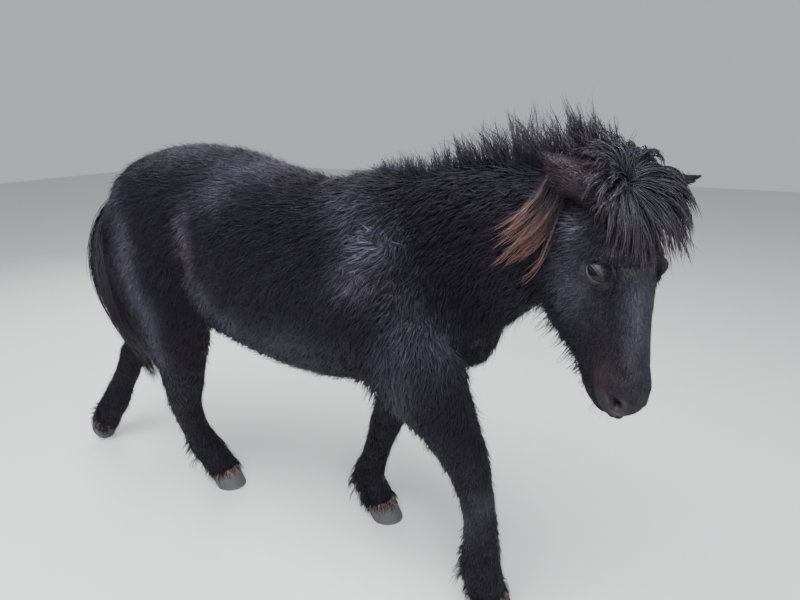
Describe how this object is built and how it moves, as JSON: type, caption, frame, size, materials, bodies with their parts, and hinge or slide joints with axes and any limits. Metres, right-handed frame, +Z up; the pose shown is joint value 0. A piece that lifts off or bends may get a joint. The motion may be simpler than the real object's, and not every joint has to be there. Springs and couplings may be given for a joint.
{
  "type": "icelandic horse, still life-size animal model",
  "caption": "Life-size still model of a young Icelandic horse in dense dark winter coat, walking with its head turned to its right.",
  "frame": {"origin": "on the floor, under the middle of the whole model's box", "axes": "+Z up; +X ahead, the way the trunk faces; +Y to the horse's left"},
  "size_m": [2.3838, 0.697, 1.4801],
  "materials": {
    "coat": "dense, soft, near-black winter fur with a cool sheen and brown tips",
    "long_hair": "long coarse black mane and tail hair, red-brown towards the tips",
    "ear_skin": "short dark fur over thin skin, long pale-brown hair inside the cup",
    "hoof_horn": "dull grey-brown horn with fine growth rings",
    "eye": "wet, dark brown, glossy"
  },
  "bodies": {
    "root": {"torso": "coat", "neck": "coat", "head": "coat", "foreleg_left": "coat", "foreleg_right": "coat", "hindleg_left": "coat", "hindleg_right": "coat", "tail": "long_hair", "ear_left": "ear_skin", "ear_right": "ear_skin", "eye_left": "eye", "eye_right": "eye", "hoof_fore_left": "hoof_horn", "hoof_fore_right": "hoof_horn", "hoof_hind_left": "hoof_horn", "hoof_hind_right": "hoof_horn"}
  },
  "joints": []
}
